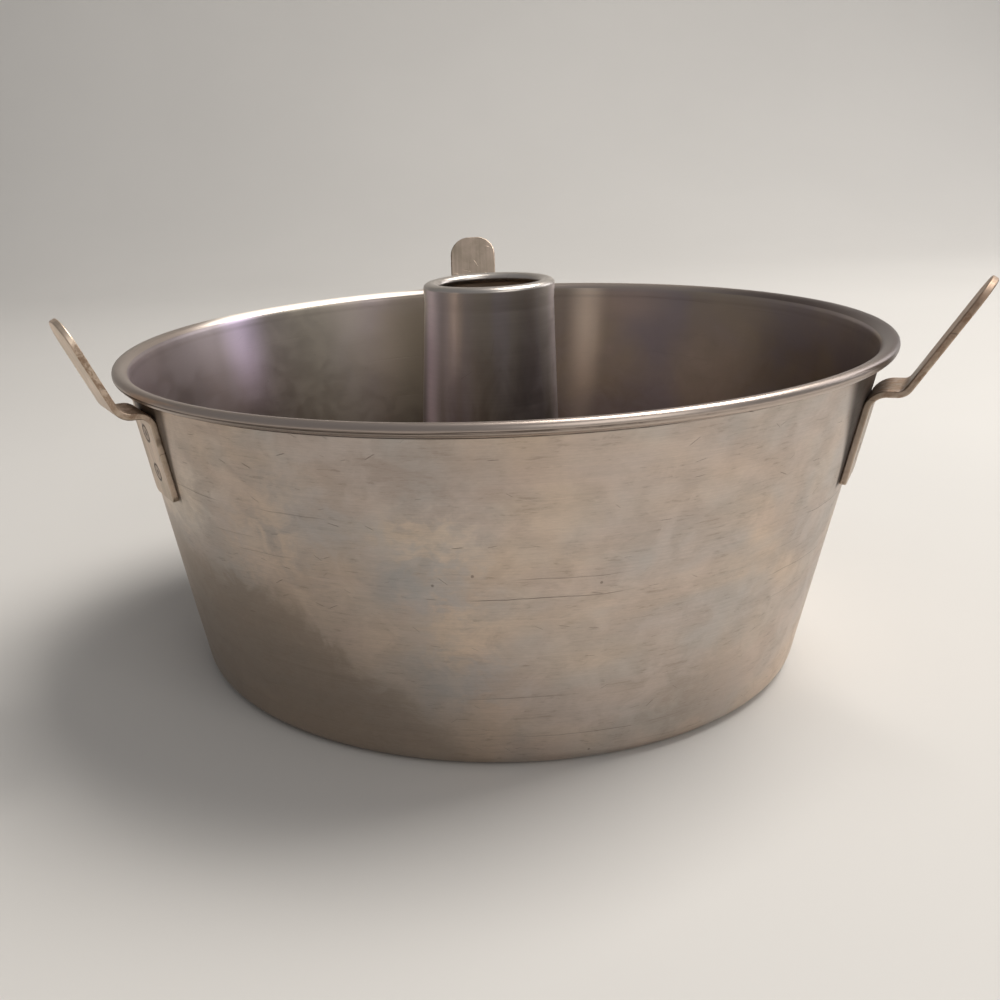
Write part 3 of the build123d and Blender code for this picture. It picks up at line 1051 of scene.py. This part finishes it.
def makeShell():
    sizes = shellSizes
    steps = sizes["steps"]
    half = sizes["sheet"] / 2
    slope = wallSlope
    bend = sizes["cornerRadius"]

    # the wall flares out into the bead, the bead rolls round, and its edge comes back almost to the wall
    beadReach = sizes["rimRadius"] - sizes["beadHeight"] / 2
    under = sizes["height"] - sizes["sheet"]
    lead = math.cos(slope) - (1 - math.sin(slope)) * math.tan(slope)
    flare = (beadReach - sizes["baseRadius"] - under * math.tan(slope)) / lead
    flareMiddle = (beadReach, under - flare)
    roll = sizes["beadHeight"] / 2 - sizes["sheet"]
    tuckLevel = under - 2 * roll
    tuckReach = math.sqrt(flare**2 - (tuckLevel - flareMiddle[1]) ** 2)
    curlEnd = (beadReach - tuckReach + sizes["curlGap"] + half, tuckLevel - half)
    cornerMiddle = (sizes["baseRadius"] - bend / math.tan((math.pi / 2 + slope) / 2), bend)

    ledgeEnd = (sizes["baseRadius"] - sizes["ledgeWidth"] + half, half)
    ledge = linePath(ledgeEnd, (cornerMiddle[0], half), steps["ledge"])
    corner = arcPath(cornerMiddle, (bend - half,) * 2, -90, -math.degrees(slope), steps["corner"])
    flareArc = arcPath(flareMiddle, (flare + half,) * 2, 180 - math.degrees(slope), 90, steps["flare"])
    rollArc = arcPath((beadReach, under - roll), (roll + half,) * 2, 90, -90, steps["roll"])
    tuck = linePath(rollArc[-1], curlEnd, steps["tuck"])
    wall = linePath(corner[-1], flareArc[0], sizes["wallRows"])
    flatPart = joinPaths(ledge, corner, wall)
    path = joinPaths(flatPart, flareArc, rollArc, tuck)
    outline = sheetOutline(path, sizes["sheet"], len(flatPart) + steps["beforeCurl"])
    values = {**sizes, "turnRadius": sizes["rimRadius"], "finish": makeShellFinish()}
    piece = growPiece("panShell", [outline], turnedSheet, values)
    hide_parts("pan_shell")
    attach(piece, "pan")


makeShell()


# Floor disc

discSizes = {
    "radius": discBox[1].x,
    "low": discBox[0].z,
    "high": discBox[1].z,
    "holeRadius": 29.6 * mm,
    "rows": 50,
    "meanRadius": 70 * mm,
    "stepsRound": 384,
    "dentDepth": 0.3 * mm,
    "dentSize": 60 * mm,
    "dentSeed": 9.0,
    "fadeFrom": 35 * mm,
    "fadeTo": 98 * mm,
    "fadeWidth": 14 * mm,
    "pushOut": 0.0,
    "pushUp": 1.0,
}


def makeDisc():
    sizes = discSizes
    thickness = sizes["high"] - sizes["low"]
    middle = (sizes["high"] + sizes["low"]) / 2
    inner, outer = sizes["holeRadius"] + thickness / 2, sizes["radius"] - thickness / 2
    path = linePath((inner, middle), (outer, middle), sizes["rows"])
    # the outline's left side is the disc's upper side, so the mark is turned about to lie on the underside
    outline = [(spot[0], spot[1], 1.0 - spot[2], 0.0) for spot in sheetOutline(path, thickness, len(path))]
    finish = makeInsertFinish("discFinish", sizes["meanRadius"], "underside")
    values = {**sizes, "turnRadius": sizes["radius"], "finish": finish}
    piece = growPiece("baseDisc", [outline], turnedSheet, values)
    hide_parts("base_disc")
    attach(piece, "insert")


makeDisc()


# Centre tube: flange, bend, tapered wall and a lip rolled inward, with the pressed ring on the disc

tubeSizes = {
    "height": tubeBox[1].z,
    "flangeRadius": tubeBox[1].x,
    "flangeLow": tubeBox[0].z,
    "discTop": discBox[1].z,
    "topRadius": 22.3 * mm,
    "baseRadius": 28.6 * mm,
    "sheet": 1.0 * mm,
    "bend": 1.0 * mm,
    "lipWidth": 5.2 * mm,
    "lipHeight": 3.4 * mm,
    "lipBulge": 0.5 * mm,
    "curlEnd": 290,  # degrees
    "shoulder": 5 * mm,  # the wall starts to spread this far under the lip
    "seamWidth": 2.7 * mm,
    "seamHeight": 1.6 * mm,
    "meanRadius": 25 * mm,
    "wallRows": 60,
    "steps": {"flange": 4, "bend": 6, "lip": 40, "ringWall": 2, "ring": 10, "beforeCurl": 1},
    "stepsRound": 256,
    "dentDepth": 0.12 * mm,
    "dentSize": 24 * mm,
    "dentSeed": 2.0,
    "fadeFrom": 40 * mm,
    "fadeTo": 146 * mm,
    "fadeWidth": 14 * mm,
    "pushOut": 1.0,
    "pushUp": 0.0,
}


def makeTube():
    sizes = tubeSizes
    steps = sizes["steps"]
    half = sizes["sheet"] / 2
    lipLevel = sizes["height"] - sizes["lipHeight"] / 2
    lipMiddle = (sizes["topRadius"] + sizes["lipBulge"] - sizes["lipWidth"] / 2, lipLevel)
    lipRadii = (sizes["lipWidth"] / 2 - half, sizes["lipHeight"] / 2 - half)
    slope = (sizes["baseRadius"] - sizes["topRadius"]) / (lipLevel - sizes["discTop"])

    def wallRadius(level):
        return sizes["topRadius"] + (lipLevel - level) * slope - half

    flangeLevel = sizes["flangeLow"] + half
    bend = sizes["bend"] + half
    foot = wallRadius(flangeLevel + bend)
    edge = (sizes["flangeRadius"] - half, flangeLevel)
    flange = linePath(edge, (foot + bend, flangeLevel), steps["flange"])
    turn = arcPath((foot + bend, flangeLevel + bend), (bend, bend), 270, 180, steps["bend"])
    shoulder = lipLevel - sizes["shoulder"]
    wall = linePath(turn[-1], (wallRadius(shoulder), shoulder), sizes["wallRows"])
    flatPart = joinPaths(flange, turn, wall)
    path = joinPaths(flatPart, arcPath(lipMiddle, lipRadii, 0, sizes["curlEnd"], steps["lip"]))
    outline = sheetOutline(path, sizes["sheet"], len(flatPart) + steps["beforeCurl"])
    inner, low = wallRadius(sizes["discTop"]), sizes["discTop"]
    ringRadii = (sizes["seamWidth"], sizes["seamHeight"])
    ring = joinPaths(
        linePath((inner, low), (inner, low + sizes["seamHeight"]), steps["ringWall"]),
        arcPath((inner + half, low), ringRadii, 90, 0, steps["ring"]),
    )
    ring = [(spot[0], spot[1], 0.0, 0.0) for spot in ring][::-1]
    finish = makeInsertFinish("tubeFinish", sizes["meanRadius"], "bore", tubeStripes)
    values = {**sizes, "turnRadius": sizes["flangeRadius"], "finish": finish}
    piece = growPiece("centreTube", [outline, ring], turnedSheet, values)
    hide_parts("centre_tube")
    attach(piece, "insert")


makeTube()


# Feet and rivets keep their CAD shape

for side in feet:
    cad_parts["foot_" + side].material_slots[0].material = makeStrapFinish(side)
    rivetMaterial = makeRivetFinish(side)
    for row in ("upper", "lower"):
        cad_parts["rivet_" + side + "_" + row].material_slots[0].material = rivetMaterial
print("feet and rivets finished")


# Studio

studio = {
    "floorColour": paint(218, 215, 210),
    "floorTone": (0.3, 0.7, 0.97, 1.0),
    "floorRoughness": 0.85,
    "floorDrop": 0.1 * mm,  # so that the floor and the shell's ledge don't lie in one plane
    "grain": {"scale": 3.0, "detail": 4.0},
    "worldColour": paint(205, 205, 208),
    "worldStrength": 0.4,
    "sweepStart": 1.1,
    "sweepRadius": 0.8,
    "floorSteps": 8,
    "sweepSteps": 24,
    "halfWidth": 3.0,
    "front": -3.0,
    "top": 2.6,
    "lampAim": (0.0, 0.0, 0.06),
}


def makeBackdrop():
    start, radius = studio["sweepStart"], studio["sweepRadius"]
    path = linePath((studio["front"], 0.0), (start, 0.0), studio["floorSteps"])
    path += arcPath((start, radius), (radius, radius), -90, 0, studio["sweepSteps"])[1:]
    path += [(start + radius, studio["top"])]
    points = [(side * studio["halfWidth"], y, z) for y, z in path for side in (-1, 1)]
    faces = [(2 * step, 2 * step + 1, 2 * step + 3, 2 * step + 2) for step in range(len(path) - 1)]
    mesh = bpy.data.meshes.new("backdrop")
    mesh.from_pydata(points, [], faces)
    mesh.polygons.foreach_set("use_smooth", [True] * len(mesh.polygons))
    backdrop = addObject("backdrop", mesh)
    backdrop.location.z = -studio["floorDrop"]
    material, tree, shader, position = newFinish("backdropPaper")
    tone = fade(tree, noiseOf(tree, position, **studio["grain"]), *studio["floorTone"])
    tree.links.new(toned(tree, studio["floorColour"], tone), shader.inputs["Base Color"])
    shader.inputs["Roughness"].default_value = studio["floorRoughness"]
    mesh.materials.append(material)


lamps = {
    "key": {"place": (0.72, 0.34, 1.5), "size": 0.9, "power": 25, "colour": (1.0, 0.965, 0.92)},
    "front": {"place": (0.9, -1.4, 1.0), "size": 1.2, "power": 7, "colour": (1.0, 0.98, 0.95)},
    "window": {"place": (1.6, 0.9, 0.7), "size": 0.9, "power": 5, "colour": (0.97, 0.97, 1.0)},
}


def makeLamps():
    aim = Vector(studio["lampAim"])
    for name, lamp in lamps.items():
        light = bpy.data.lights.new(name, "AREA")
        light.shape = "SQUARE"
        light.size = lamp["size"]
        light.energy = lamp["power"]
        light.color = lamp["colour"]
        placed = addObject(name, light)
        placed.location = lamp["place"]
        placed.rotation_euler = (aim - placed.location).to_track_quat("-Z", "Y").to_euler()
    world = bpy.data.worlds.new("studio")
    world.use_nodes = True
    ground = world.node_tree.nodes["Background"]
    ground.inputs["Color"].default_value = studio["worldColour"]
    ground.inputs["Strength"].default_value = studio["worldStrength"]
    bpy.context.scene.world = world


# The photograph's camera: place in metres, angles in radians, sensor in mm
view = {
    "place": (-19.62 * mm, -389.93 * mm, 175.96 * mm),
    "yaw": -0.0759,
    "pitch": 0.4295,
    "roll": -0.0627,
    "imagePixels": 1000,
    "focalPixels": 1064.68,
    "centrePixel": (369.43, 630.0),
    "sensor": 36.0,
    "clipStart": 0.02,
}


def makeCamera():
    yaw, pitch, roll = view["yaw"], view["pitch"], view["roll"]
    ahead = Vector((math.sin(yaw) * math.cos(pitch), math.cos(yaw) * math.cos(pitch), -math.sin(pitch)))
    level = Vector((math.cos(yaw), -math.sin(yaw), 0.0))
    above = level.cross(ahead)
    right = level * math.cos(roll) + above * math.sin(roll)
    up = above * math.cos(roll) - level * math.sin(roll)
    pixels, centre = view["imagePixels"], view["centrePixel"]
    data = bpy.data.cameras.new("camera")
    data.sensor_width = view["sensor"]
    data.lens = view["focalPixels"] / pixels * view["sensor"]
    data.shift_x = (pixels / 2 - centre[0]) / pixels
    data.shift_y = (centre[1] - pixels / 2) / pixels
    data.clip_start = view["clipStart"]
    camera = addObject("camera", data)
    turn = Matrix((right, up, -ahead)).transposed().to_4x4()
    camera.matrix_world = Matrix.Translation(view["place"]) @ turn
    bpy.context.scene.camera = camera


makeBackdrop()
makeLamps()
makeCamera()
bpy.context.scene.view_settings.view_transform = "Standard"
print("studio ready")
